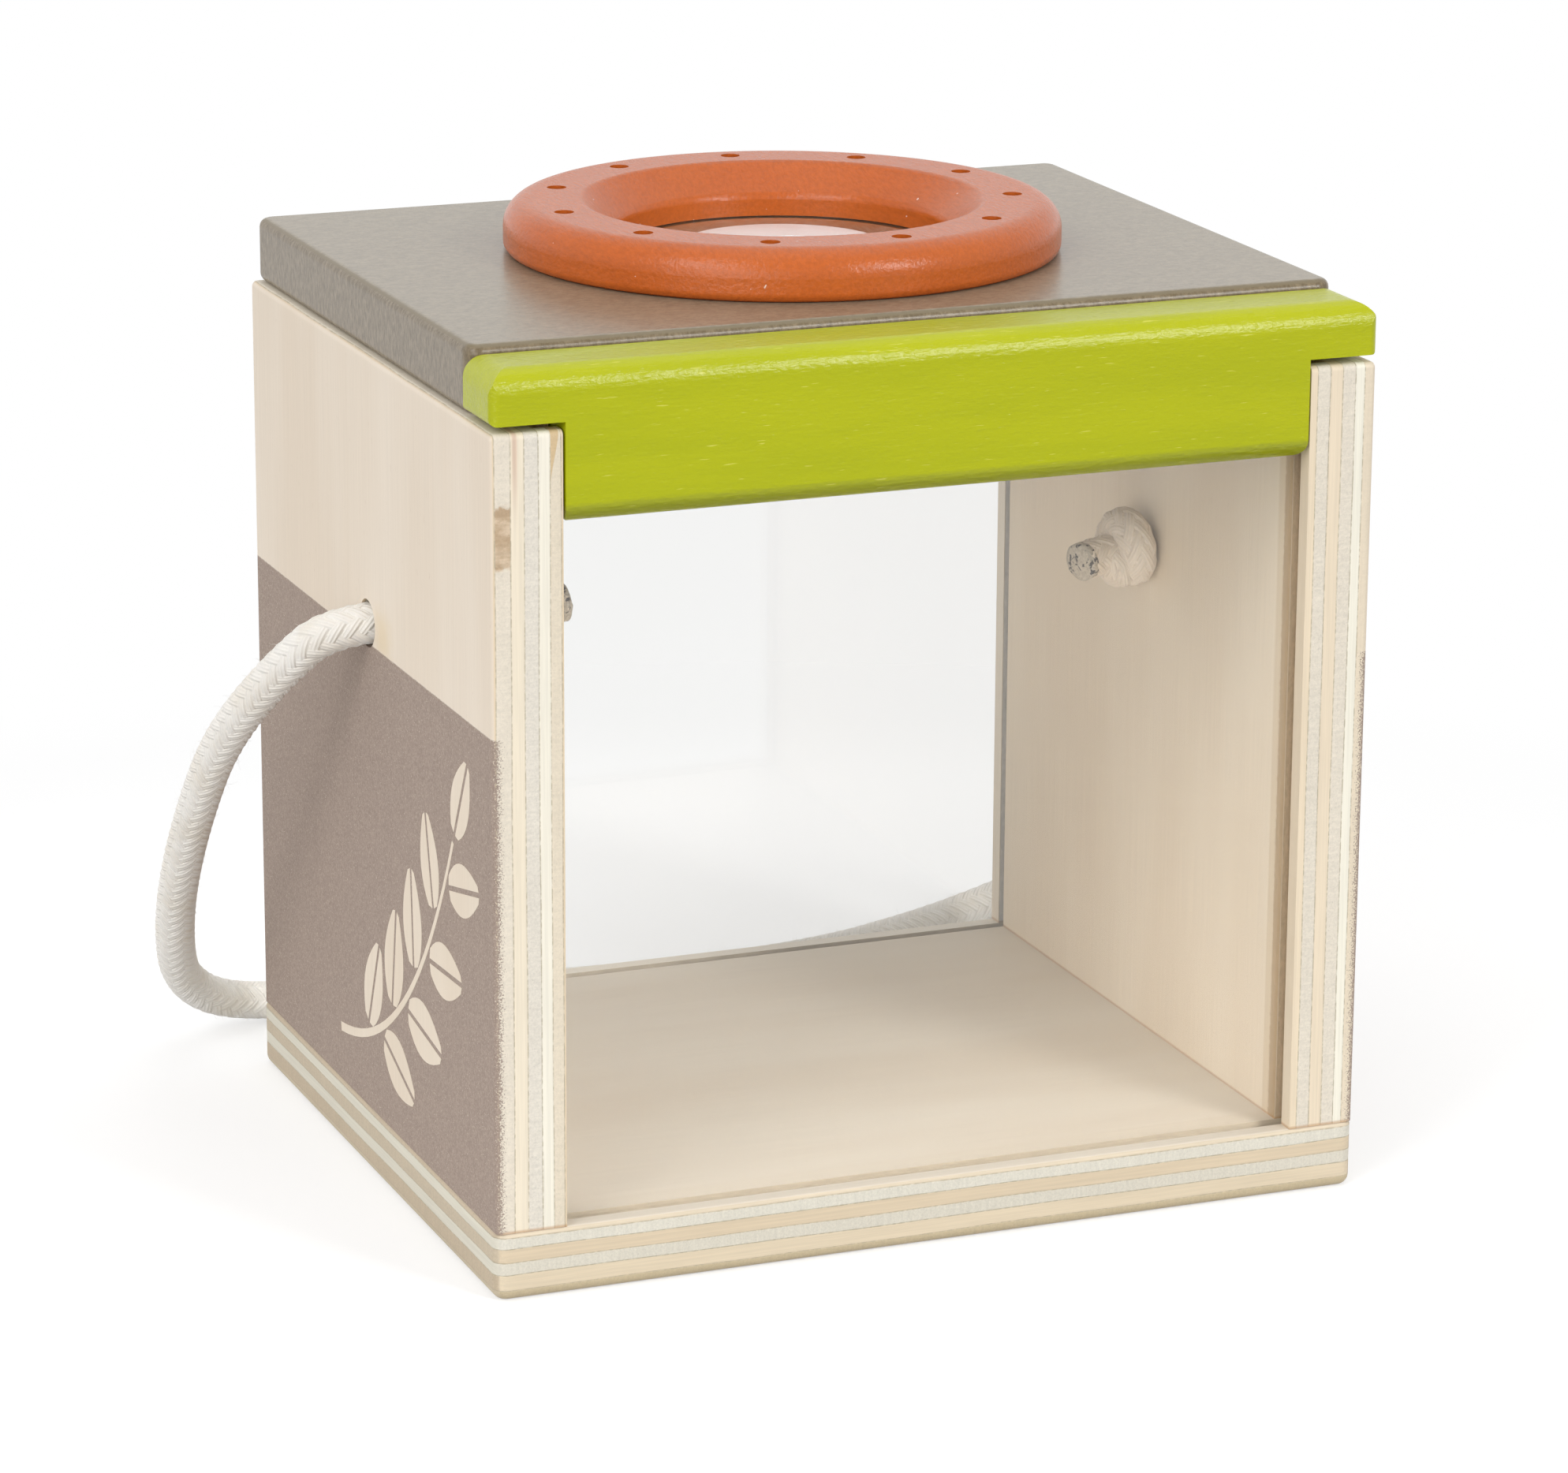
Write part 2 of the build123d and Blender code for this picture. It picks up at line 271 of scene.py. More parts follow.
# Plies from the outer face inwards: thickness in mm, colour, share of end grain
LEFT_PLIES = [
    (0.45, EDGE_TAN, 0.0), (2.05, linear(229, 219, 202), 0.8), (1.75, linear(238, 226, 204), 0.0),
    (1.85, linear(226, 219, 206), 1.0), (1.5, linear(242, 236, 220), 0.0),
    (1.45, linear(228, 216, 195), 0.7), (0.4, EDGE_TAN, 0.0),
]
RIGHT_PLIES = [
    (1.7, linear(229, 215, 192), 0.4), (1.3, linear(242, 237, 221), 0.0),
    (1.75, linear(227, 218, 202), 1.0), (1.75, linear(233, 217, 192), 0.0),
    (1.75, linear(226, 217, 201), 1.0), (1.2, linear(234, 217, 190), 0.0),
]
WEDGE = linear(205, 174, 124)
PINK_STREAK = linear(212, 180, 158)
# Base plies from the top down, on the front and back edges and on the end edges
BASE_STEPS = [0.6, 1.5, 1.85, 1.65, 1.95, 1.45]
BASE_FRONT = [
    (linear(222, 207, 182), 0.0), (linear(222, 217, 203), 1.0), (linear(218, 200, 172), 0.0),
    (linear(217, 211, 196), 1.0), (linear(222, 206, 179), 0.0), (linear(200, 184, 152), 0.7),
]
BASE_END = [
    (linear(199, 182, 157), 0.8), (linear(221, 216, 200), 0.0), (linear(199, 184, 160), 1.0),
    (linear(219, 214, 198), 0.0), (linear(194, 177, 152), 1.0), (linear(200, 186, 160), 0.3),
]


def plies(t, depth, layers):
    """Colour, share of end grain and glue lines of stacked veneers at a depth in millimetres."""
    colour, ends = layers[0][1], layers[0][2]
    lines = 0.0
    edge = 0.0
    for before, layer in zip(layers, layers[1:]):
        edge += before[0]
        past = t.step(depth, edge - PLY_BLUR, edge + PLY_BLUR)
        colour = t.mix(past, colour, layer[1])
        ends = t.math("MULTIPLY_ADD", past, t.math("SUBTRACT", layer[2], ends), ends)
        off = t.math("ABSOLUTE", t.math("SUBTRACT", depth, edge))
        lines = t.math("MAXIMUM", lines, t.step(off, 0.03, LINE_HALF, 1.0, 0.0))
    return colour, ends, lines


def veneer(t, across, along):
    """Colour and relief of a birch face. across and along say which way the grain runs."""
    def grain(fine, slow, detail, roughness=0.55):
        scales = [fine * a + slow * b for a, b in zip(across, along)]
        return t.noise(t.stretch(*scales), detail=detail, roughness=roughness)
    broad = grain(0.05, 0.009, 2)
    soft = grain(0.42, 0.016, 3)
    lines = grain(2.7, 0.045, 4, 0.65)
    flecks = grain(4.2, 0.55, 2)
    pins = grain(0.33, 0.11, 2)
    colour = t.mix(t.step(broad, 0.34, 0.68), VENEER_PALE, VENEER)
    colour = t.mix(t.step(soft, 0.5, 0.85, 0.0, 0.14), colour, VENEER_WARM)
    colour = t.shade(colour, t.spread(lines, 0.925, 1.068))
    colour = t.mix(t.step(flecks, 0.68, 0.8, 0.0, 0.45), colour, TICK)
    colour = t.mix(t.step(pins, 0.77, 0.83, 0.0, 0.3), colour, TICK)
    relief = t.math("MULTIPLY_ADD", flecks, -0.5, lines)
    return colour, relief


def edge_grain(t, colour, ends, lines, along, cross):
    """Ply edges: streaks on long grain, pores and fine cuts on end grain, broken glue lines."""
    def grain(lengthwise, crosswise, detail, roughness=0.55):
        scales = [lengthwise * a + crosswise * c for a, c in zip(along, cross)]
        return t.noise(t.stretch(*scales), detail=detail, roughness=roughness)
    streak = grain(0.06, 3.2, 4, 0.65)
    pores = t.noise(t.place, scale=3.2, detail=3, roughness=0.7)
    specks = grain(2.2, 3.6, 2)
    cuts = grain(1.9, 0.2, 4, 0.75)
    patches = grain(0.06, 0.3, 3)
    long_grain = t.step(streak, 0.28, 0.72, 0.94, 1.05)
    pored = t.step(pores, 0.28, 0.72, 0.92, 1.06)
    end_grain = t.math("MULTIPLY", pored, t.step(cuts, 0.28, 0.72, 0.95, 1.05))
    end_grain = t.math("MULTIPLY", end_grain, t.step(specks, 0.64, 0.74, 1.0, 0.87))
    tone = t.math("MULTIPLY_ADD", ends, t.math("SUBTRACT", end_grain, long_grain), long_grain)
    tone = t.math("MULTIPLY", tone, t.spread(patches, 0.9, 1.01))
    broken = t.step(grain(1.3, 0.8, 4), 0.34, 0.62)
    relief = t.math("MULTIPLY_ADD", ends, pores, t.math("MULTIPLY", lines, -0.8))
    glue = t.math("MULTIPLY", lines, t.spread(broken, 0.12, 0.8))
    return t.mix(glue, t.shade(colour, tone), GLUE_LINE), relief


def in_groove(t):
    """1 inside a pane groove, 0 elsewhere, by distance from the pane's middle plane."""
    off = t.math("ABSOLUTE", t.math("SUBTRACT", t.math("ABSOLUTE", t.y), pane_y / MM))
    return t.step(off, *GROOVE_HALF, 1.0, 0.0)


def groove_wood(t):
    """Sawn groove sides: brown at the front, partly wood colour and partly painted shade; at the rear
    lighter than the veneer, painted light against the groove's shade.
    """
    rough_cut = t.noise(t.stretch(2.2, 2.2, 0.9), detail=5, roughness=0.7)
    colour = t.mix(t.step(t.y, -1.0, 1.0), GROOVE_BROWN_AND_SHADE, GROOVE_PAINTED_LIGHT)
    return t.shade(colour, t.spread(rough_cut, 0.6, 1.38))


def ply_marks(t, colour, depth, layers):
    """Marks on one wall's front edge: a brown knot patch, a pink streak and a wedge of another veneer."""
    low, high = KNOT_PATCH
    height = t.math("ADD", t.z, t.spread(t.noise(t.place, scale=1.4), -0.9, 0.9))
    tall = t.math("MULTIPLY", t.step(height, low, low + 0.8), t.step(height, high - 0.8, high, 1.0, 0.0))
    second = layers[0][0] + layers[1][0]
    inside = t.math("MULTIPLY", t.step(depth, 0.35, 0.55), t.step(depth, second - 0.1, second, 1.0, 0.0))
    bands = t.noise(t.stretch(0.25, 0.25, 0.55), detail=4, roughness=0.6)
    brown = t.mix(t.step(bands, 0.38, 0.64), linear(214, 190, 160), linear(176, 146, 110))
    colour = t.mix(t.math("MULTIPLY", t.math("MULTIPLY", tall, inside), 0.85), colour, brown)

    along = t.step(t.z, *PINK_RISE)
    off = t.math("ABSOLUTE", t.math("SUBTRACT", depth, second + 0.55))
    streak = t.math("MULTIPLY", along, t.step(off, 0.1, 0.5, 0.7, 0.0))
    colour = t.mix(streak, colour, PINK_STREAK)

    inner = sum(layer[0] for layer in layers[:5])
    width = t.math("MULTIPLY", t.step(t.z, *WEDGE_RISE), WEDGE_WIDTH)
    past = t.math("SUBTRACT", t.math("SUBTRACT", depth, inner), width)
    wedge = t.math("MULTIPLY", t.step(past, -0.12, 0.05, 1.0, 0.0), t.step(depth, inner, inner + 0.12))
    wedge = t.math("MULTIPLY", wedge, t.step(t.z, *WEDGE_FOOT))
    return t.mix(t.math("MULTIPLY", wedge, 0.75), colour, WEDGE)


def wall_plywood(name, layers, marked):
    """A wall: birch faces, layered edges, the lower part of the outer face printed taupe.

    A marked wall also has the marks on its front edge and a stain beside its hole.
    """
    t = Tree(name)
    depth = t.math("SUBTRACT", wall_outer / MM, t.math("ABSOLUTE", t.x))
    sway = t.noise(t.stretch(0.2, 0.05, 0.022), detail=2)
    swayed = t.math("ADD", depth, t.spread(sway, -0.22, 0.22))
    face, face_relief = veneer(t, (0, 1, 0), (0, 0, 1))
    # Faces on the inner half get a lighter, warmer copy of the veneer: painted light
    inner_half = t.step(depth, *INNER_HALF)
    face = t.mix(inner_half, face, t.mix(1.0, face, INNER_PAINTED_LIGHT, "MULTIPLY"))
    colour, ends, lines = plies(t, swayed, layers)
    if marked:
        front = ply_marks(t, colour, swayed, layers)
        colour = t.mix(t.step(t.y, -1.0, 1.0), front, colour)
    edge, edge_relief = edge_grain(t, colour, ends, lines, (0, 0, 1), (1, 1, 0))
    flat = t.step(t.nx, 0.55, 0.8)
    colour = t.mix(flat, edge, face)
    relief = t.blend(flat, edge_relief, face_relief)

    groove = t.math("MULTIPLY", in_groove(t), t.step(depth, *GROOVE_FLOOR))
    groove = t.math("MULTIPLY", groove, t.step(depth, wall_mm - 0.16, wall_mm - 0.06, 1.0, 0.0))
    inner = t.math("MULTIPLY", flat, inner_half)
    behind = t.math("ADD", t.y, pane_y / MM)
    rubbed = t.math("MULTIPLY", inner, t.step(behind, *RUBBED_REACH, 0.35, 0.0))
    colour = t.mix(rubbed, colour, RUBBED)
    # A darker brown strip on the inner face just behind the front groove: partly wood colour, partly
    # painted shade beside the groove
    ragged = t.math("ADD", behind, t.spread(t.noise(t.place, scale=1.6), -0.4, 0.4))
    strip_brown_and_shade = t.math("MULTIPLY", inner, t.step(ragged, *STRIP_BROWN_AND_SHADE_REACH, 0.8, 0.0))
    strip_brown_and_shade = t.math("MULTIPLY", strip_brown_and_shade, t.step(behind, 0.0, 0.5))
    uneven = t.noise(t.stretch(2.0, 2.0, 0.6), detail=4)
    colour = t.mix(strip_brown_and_shade, colour, t.shade(STRIP_BROWN_AND_SHADE, t.spread(uneven, 0.75, 1.2)))
    colour = t.mix(groove, colour, groove_wood(t))

    if marked:
        off = t.node("VectorMath", {0: t.place, 1: HOLE_STAIN}, operation="DISTANCE").outputs["Value"]
        off = t.math("ADD", off, t.spread(t.noise(t.place, scale=0.3), -2.0, 2.0))
        colour = t.mix(t.step(off, *STAIN_REACH, 0.5, 0.0), colour, STAIN)
    foot = wall_foot / MM
    glue = t.step(t.z, foot + 0.1, foot + 0.5, 0.6, 0.0)
    colour = t.mix(glue, colour, GLUE_BROWN)

    sand = t.noise(t.place, scale=2.9, detail=3, roughness=0.7)
    ink = t.mix(t.step(sand, 0.34, 0.68), PRINT_DARK, PRINT_TAUPE)
    ink = t.shade(ink, t.spread(t.noise(t.stretch(0.35, 0.35, 0.08)), 0.97, 1.03))
    ragged = t.math("ADD", t.z, t.spread(t.noise(t.place, scale=3.0), -0.12, 0.12))
    below = t.step(ragged, PRINT_TOP - 0.12, PRINT_TOP + 0.12, 1.0, 0.0)
    overspray = t.noise(t.place, scale=4.4, detail=3, roughness=0.7)
    reach = t.math("ADD", depth, t.spread(overspray, -2.3, 2.3))
    printed = t.math("MULTIPLY", below, t.step(reach, 0.45, 1.0, 1.0, 0.0))
    colour = t.mix(printed, colour, ink)
    relief = t.math("MULTIPLY_ADD", t.math("MULTIPLY", printed, sand), 0.5, relief)
    gloss = t.spread(printed, 0.62, 0.72)
    return t.finish(Base_Color=colour, Roughness=gloss, Normal=t.bump(relief, 0.05, 0.7))


def base_plywood():
    """The base: grain across the floor, layered edges all round."""
    t = Tree("base_plywood")
    top = base_top / MM
    depth = t.math("SUBTRACT", top, t.z)
    sway = t.noise(t.stretch(0.028, 0.028, 0.25), detail=2)
    depth = t.math("ADD", depth, t.spread(sway, -0.34, 0.34))
    floor, floor_relief = veneer(t, (0, 1, 0), (1, 0, 0))
    # The floor's veneer is darkened: painted shade
    floor = t.mix(1.0, floor, FLOOR_PAINTED_SHADE, "MULTIPLY")

    def side(colours, along, cross):
        layers = [(step, *rest) for step, rest in zip(BASE_STEPS, colours)]
        return edge_grain(t, *plies(t, depth, layers), along, cross)

    front, front_relief = side(BASE_FRONT, (1, 0, 0), (0, 1, 1))
    end, end_relief = side(BASE_END, (0, 1, 0), (1, 0, 1))
    turned = t.step(t.math("SUBTRACT", t.nx, t.ny), -0.2, 0.2)
    colour = t.mix(turned, front, end)
    relief = t.blend(turned, front_relief, end_relief)
    flat = t.step(t.nz, 0.75, 0.92)
    colour = t.mix(flat, colour, floor)
    relief = t.blend(flat, relief, floor_relief)
    groove = t.math("MULTIPLY", in_groove(t), t.step(t.z, top - 0.12, top - 0.04, 1.0, 0.0))
    pane_side = pane_high[0] / MM
    inside = t.step(t.math("ABSOLUTE", t.x), pane_side + 0.2, pane_side + 0.5, 1.0, 0.0)
    saw_marks = t.noise(t.stretch(0.4, 2.4, 2.4), detail=4)
    sawn = t.shade(linear(219, 203, 178), t.spread(saw_marks, 0.8, 1.12))
    colour = t.mix(t.math("MULTIPLY", groove, inside), colour, sawn)
    return t.finish(Base_Color=colour, Roughness=0.6, Normal=t.bump(relief, 0.05, 0.7))


def plain_wood(name, tone, across, along):
    """Bare wood with straight grain, for pins and for unprinted motifs."""
    t = Tree(name)
    colour, relief = veneer(t, across, along)
    colour = t.mix(1.0, colour, tone, "MULTIPLY")
    return t.finish(Base_Color=colour, Roughness=0.62, Normal=t.bump(relief, 0.03, 0.6))


# Paints

BAR_ROUNDING = 2.4
BAR_DROP = 1.1
# Painted shade: darkens and dulls to olive the lid's cut faces toward front and back, for the shaded strip
# by the bar
FRONT_STRIP_PAINTED_SHADE = (0.92, 0.88, 0.8, 1)


def green_paint():
    """Satin gloss paint that lets the wood's long pores show as pale flecks."""
    t = Tree("green_paint")
    pores = t.noise(t.stretch(0.3, 3.1, 3.1), detail=2, roughness=0.5)
    peel = t.noise(t.stretch(1.0, 1.6, 1.6), detail=3, roughness=0.55)
    broad = t.noise(t.stretch(0.03, 0.2, 0.2), detail=3)
    colour = t.mix(t.step(broad, 0.35, 0.65), linear(170, 176, 2), linear(176, 181, 3))
    colour = t.mix(t.step(pores, 0.66, 0.74, 0.0, 0.65), colour, linear(214, 212, 88))
    colour = t.mix(t.step(pores, 0.25, 0.33, 0.3, 0.0), colour, linear(160, 166, 6))
    relief = t.math("MULTIPLY_ADD", pores, -0.5, peel)
    rounding = t.step(t.z, bar_foot / MM, bar_foot / MM + BAR_ROUNDING)
    normal = t.bump(relief, 0.115, 0.9, t.bump(rounding, BAR_DROP))
    return t.finish(Base_Color=colour, Roughness=0.25, Normal=normal, Specular_IOR_Level=0.33)


def orange_paint():
    """Satin paint on turned wood: combed grain, a sprayed skin and a few specks of dust."""
    t = Tree("orange_paint")
    peel = t.noise(t.place, scale=1.7, detail=3, roughness=0.55)
    comb = t.noise(t.stretch(2.1, 0.4, 2.1), detail=4, roughness=0.7)
    broad = t.noise(t.place, scale=0.09, detail=2)
    dust = t.noise(t.place, scale=1.25, detail=1)
    colour = t.mix(broad, linear(184, 87, 26), linear(192, 96, 34))
    colour = t.shade(colour, t.step(comb, 0.3, 0.7, 0.9, 1.08))
    colour = t.mix(t.step(dust, 0.795, 0.82, 0.0, 0.75), colour, linear(236, 214, 198))
    combed = t.math("MULTIPLY", comb, t.step(t.nz, 0.5, 0.9, 0.3, 2.2))
    normal = t.bump(t.math("ADD", combed, peel), 0.095, 0.9)
    return t.finish(Base_Color=colour, Roughness=0.24, Normal=normal, Specular_IOR_Level=0.36)


def taupe_paint():
    """Thin satin paint on board: brushed on top, fibrous on the cut sides, with painted olive shade at the
    edges.
    """
    t = Tree("taupe_paint")
    brushed = t.noise(t.stretch(0.75, 1.1, 1.1), detail=4, roughness=0.75)
    speck = t.noise(t.place, scale=1.6, detail=3, roughness=0.7)
    cloud = t.noise(t.place, scale=0.06, detail=3)
    fibre = t.noise(t.stretch(1.7, 1.7, 0.7), detail=5, roughness=0.7)
    top = t.shade(linear(137, 126, 106), t.step(brushed, 0.3, 0.7, 0.85, 1.15))
    top = t.shade(top, t.math("MULTIPLY", t.step(speck, 0.3, 0.7, 0.95, 1.05), t.spread(cloud, 0.96, 1.04)))
    cut = t.mix(t.step(fibre, 0.32, 0.7), linear(106, 93, 72), linear(142, 128, 107))
    # Cut faces toward front and back are darkened to olive: painted shade for the recess by the bar; the
    # back face gets it too
    cut = t.mix(t.step(t.ny, 0.4, 0.8), cut, t.mix(1.0, cut, FRONT_STRIP_PAINTED_SHADE, "MULTIPLY"))
    cut = t.shade(cut, t.spread(speck, 0.95, 1.05))
    facing = t.math("ADD", t.nz, t.spread(brushed, -0.05, 0.05))
    colour = t.mix(t.step(facing, 0.6, 0.97), cut, top)
    # Painted shade: the roundings between top and sides are darkened to olive
    rim_painted_shade = t.math("MULTIPLY", t.step(facing, 0.62, 0.8), t.step(facing, 0.9, 0.995, 1.0, 0.0))
    colour = t.mix(t.math("MULTIPLY", rim_painted_shade, 0.9), colour, linear(118, 105, 80))
    relief = t.blend(t.step(t.nz, 0.8, 0.97), fibre, brushed)
    normal = t.bump(relief, 0.055, 0.6)
    return t.finish(Base_Color=colour, Roughness=0.24, Normal=normal, Specular_IOR_Level=0.4)


# Clear pieces

PLASTIC_IOR = 1.49
SHEET_TINT = (0.95, 0.95, 0.945, 1)
LENS_TINT = (0.98, 0.98, 0.98, 1)
SAWN = 0.4
POLISHED = 0.0


def clear_plastic(name, tint, edge):
    """Clear polished plastic with faint wipe marks. edge is the roughness of its upright edges."""
    t = Tree(name)
    wipe = t.noise(t.stretch(0.03, 0.03, 0.12), detail=4, roughness=0.6)
    dull = t.step(wipe, 0.55, 0.8, 0.0, 0.05)
    dull = t.math("MAXIMUM", dull, t.step(t.nx, 0.6, 0.8, 0.0, edge))
    glass = t.node("BsdfPrincipled", {
        "Base Color": tint, "Roughness": dull, "IOR": PLASTIC_IOR, "Transmission Weight": 1.0,
    })
    through = t.node("BsdfTransparent", {0: tint})
    path = t.node("LightPath")
    mixed = t.node("MixShader", {
        0: path.outputs["Is Shadow Ray"], 1: glass.outputs[0], 2: through.outputs[0],
    })
    return t.output(mixed.outputs[0])


def sawn_plastic():
    """The frosted cut sides of a clear sheet, with upright saw marks."""
    t = Tree("sawn_sheet")
    marks = t.noise(t.stretch(0.6, 3.0, 0.25), detail=4, roughness=0.65)
    colour = t.shade(linear(226, 225, 226), t.spread(marks, 0.8, 1.15))
    return t.finish(Base_Color=colour, Roughness=0.5, Normal=t.bump(marks, 0.08, 0.7))


# Cord

def cotton(name, tone):
    """Off-white cotton: parallel yarns along each strand, soft fuzz at grazing angles. tone tints it; on
    the knots that tint is painted warm light.
    """
    t = Tree(name)
    across = t.node("Attribute", attribute_name="across").outputs["Fac"]
    yarn = t.math("SINE", t.math("MULTIPLY", across, 11.0))
    lint = t.noise(t.place, scale=3.0, detail=4)
    stain = t.noise(t.place, scale=0.16, detail=3)
    colour = t.mix(t.step(stain, 0.4, 0.75), linear(243, 239, 232), linear(236, 229, 217))
    colour = t.shade(colour, t.spread(lint, 0.96, 1.04))
    # The yarn stripes also darken the colour in the valleys between yarns: painted shade
    colour = t.shade(colour, t.math("MULTIPLY_ADD", yarn, 0.025, 0.985))
    colour = t.mix(1.0, colour, tone, "MULTIPLY")
    relief = t.math("MULTIPLY_ADD", lint, 1.4, yarn)
    return t.finish(
        Base_Color=colour, Roughness=0.85, Normal=t.bump(relief, 0.05, 0.8),
        Sheen_Weight=0.3, Sheen_Roughness=0.5,
    )


def singed_cotton():
    """The melted cut end: cream with dark grey specks."""
    t = Tree("singed_cotton")
    spots = t.noise(t.place, scale=1.3, detail=3)
    fine = t.noise(t.place, scale=3.0, detail=3)
    colour = t.mix(t.step(fine, 0.4, 0.7), linear(214, 204, 188), linear(190, 178, 162))
    colour = t.mix(t.step(spots, 0.55, 0.62), colour, linear(92, 86, 84))
    return t.finish(Base_Color=colour, Roughness=0.7, Normal=t.bump(fine, 0.15, 0.8))


BRAID_PITCH = 0.016
BRAID_HALF = 8
BRAID_STEP = 0.0006
STRAND_SIDES = 8
STRAND_WIDTH = 0.00178
STRAND_THICKNESS = 0.00092
STRAND_WAVE = 0.0001
BRAID_FULLNESS = 1.11
FUZZ_SEED = 7
FUZZ_COUNT = 1500
FUZZ_LENGTH = (0.0008, 0.0026)
FUZZ_RADIUS = 0.000022
CORD_FILLING = 0.4
KNOT_FILLING = 0.12
KNOT_DIAMETER = CORD_DIAMETER * 0.96
# Painted light: a warm, slightly darker tint for the knots, standing in for warm light bounced inside the
# box
KNOT_PAINTED_WARM_LIGHT = (1.04, 0.945, 0.85, 1)
CUT_END_RADIUS = CORD_DIAMETER * 0.52
CUT_END_PROUD = 0.0005
CUT_END_SKIRT = 1.2 * MM
CUT_END_RINGS = 7
CUT_END_SPOKES = 28
CUT_END_LUMPS = 900


def nurbs_points(name, points, resolution=24):
    """Points of the smooth NURBS line that has the given control points."""
    curve = bpy.data.curves.new(name, "CURVE")
    curve.dimensions = "3D"
    curve.resolution_u = resolution
    spline = curve.splines.new("NURBS")
    spline.points.add(len(points) - 1)
    for slot, point in zip(spline.points, points):
        slot.co = (*point, 1)
    spline.order_u = 3
    spline.use_endpoint_u = True
    holder = bpy.data.objects.new(name, curve)
    line = bpy.data.meshes.new_from_object(holder)
    found = [v.co.copy() for v in line.vertices]
    bpy.data.objects.remove(holder)
    return found


def evenly(points, step):
    """The same line at even steps along its length."""
    lengths = [0.0]
    for a, b in zip(points, points[1:]):
        lengths.append(lengths[-1] + (b - a).length)
    count = max(2, round(lengths[-1] / step))
    found = []
    index = 0
    for k in range(count + 1):
        want = lengths[-1] * k / count
        while index < len(points) - 2 and lengths[index + 1] < want:
            index += 1
        span = max(lengths[index + 1] - lengths[index], 1e-9)
        found.append(points[index].lerp(points[index + 1], (want - lengths[index]) / span))
    return found


def carried_frames(points):
    """Forward, side and up directions along a line, carried without twist."""
    found = []
    side = None
    for k, point in enumerate(points):
        ahead = points[min(k + 1, len(points) - 1)] - points[max(k - 1, 0)]
        ahead.normalize()
        if side is None:
            side = ahead.orthogonal().normalized()
        side = (side - ahead * side.dot(ahead)).normalized()
        found.append((point, ahead, side, ahead.cross(side)))
    return found


def add_tube(bm, rings, across=None, layer=None, material=0):
    """Closes a row of rings of points into a tube with capped ends."""
    made = [[bm.verts.new(p) for p in ring] for ring in rings]
    count = len(made[0])
    if layer:
        for ring in made:
            for vert, value in zip(ring, across):
                vert[layer] = value
    faces = []
    for a, b in zip(made, made[1:]):
        for k in range(count):
            faces.append(bm.faces.new((a[k], a[(k + 1) % count], b[(k + 1) % count], b[k])))
    faces.append(bm.faces.new(list(reversed(made[0]))))
    faces.append(bm.faces.new(made[-1]))
    for face in faces:
        face.smooth = True
        face.material_index = material


def add_braid(bm, layer, points, diameter, filling):
    """Sixteen flat strands, eight each way, that pass over two and under two, round a core."""
    rows = carried_frames(evenly(points, BRAID_STEP))
    travel = [0.0]
    for a, b in zip(rows, rows[1:]):
        travel.append(travel[-1] + (b[0] - a[0]).length)
    middle = diameter * BRAID_FULLNESS / 2 - STRAND_WAVE - STRAND_THICKNESS / 2
    lean = math.atan(2 * math.pi * middle / BRAID_PITCH)
    corners = [2 * math.pi * k / STRAND_SIDES for k in range(STRAND_SIDES)]
    across = [math.cos(a) for a in corners]
    for way in (1, -1):
        for strand in range(BRAID_HALF):
            rings = []
            for (centre, ahead, side, up), s in zip(rows, travel):
                crossing = 2 * BRAID_HALF * s / BRAID_PITCH
                turn = 2 * math.pi * (way * s / BRAID_PITCH + strand / BRAID_HALF)
                wave = math.cos(math.pi / 2 * (2 * strand + way * crossing - 0.5)) * way
                radius = middle + STRAND_WAVE * wave
                out = side * math.cos(turn) + up * math.sin(turn)
                round_way = up * math.cos(turn) - side * math.sin(turn)
                over = round_way * math.cos(lean) - ahead * (way * math.sin(lean))
                ring = []
                for a in corners:
                    wide = over * (STRAND_WIDTH / 2 * math.cos(a))
                    ring.append(centre + out * (radius + STRAND_THICKNESS / 2 * math.sin(a)) + wide)
                rings.append(ring)
            add_tube(bm, rings, across, layer)
    core = middle + STRAND_THICKNESS * filling
    core_rings = []
    for centre, ahead, side, up in rows[::2]:
        core_rings.append([centre + (side * math.cos(a) + up * math.sin(a)) * core for a in corners])
    add_tube(bm, core_rings, [0.0] * len(corners), layer)


def add_fuzz(bm, layer, points):
    """Loose fibres that stand off the cord, none of them in the floor."""
    rows = carried_frames(evenly(points, BRAID_STEP))
    draw = random.Random(FUZZ_SEED)
    corners = [2 * math.pi * k / 3 for k in range(3)]
    for _ in range(FUZZ_COUNT):
        centre, ahead, side, up = draw.choice(rows)
        turn = draw.uniform(0, 2 * math.pi)
        length = draw.uniform(*FUZZ_LENGTH)
        lie = draw.uniform(-1, 1)
        curl = draw.uniform(-1, 1)
        out = side * math.cos(turn) + up * math.sin(turn)
        round_way = up * math.cos(turn) - side * math.sin(turn)
        rings = []
        for share in (0, 0.33, 0.67, 1):
            rise = CORD_DIAMETER / 2 + length * share * (0.8 - 0.4 * share)
            onward = ahead * (length * lie * share)
            spot = centre + out * rise + onward + round_way * (length * curl * share ** 2)
            thin = FUZZ_RADIUS * (1 - 0.6 * share)
            rings.append([spot + (ahead * math.cos(a) + round_way * math.sin(a)) * thin for a in corners])
        if min(p.z for ring in rings for p in ring) > 0:
            add_tube(bm, rings, [0.0] * len(corners), layer)


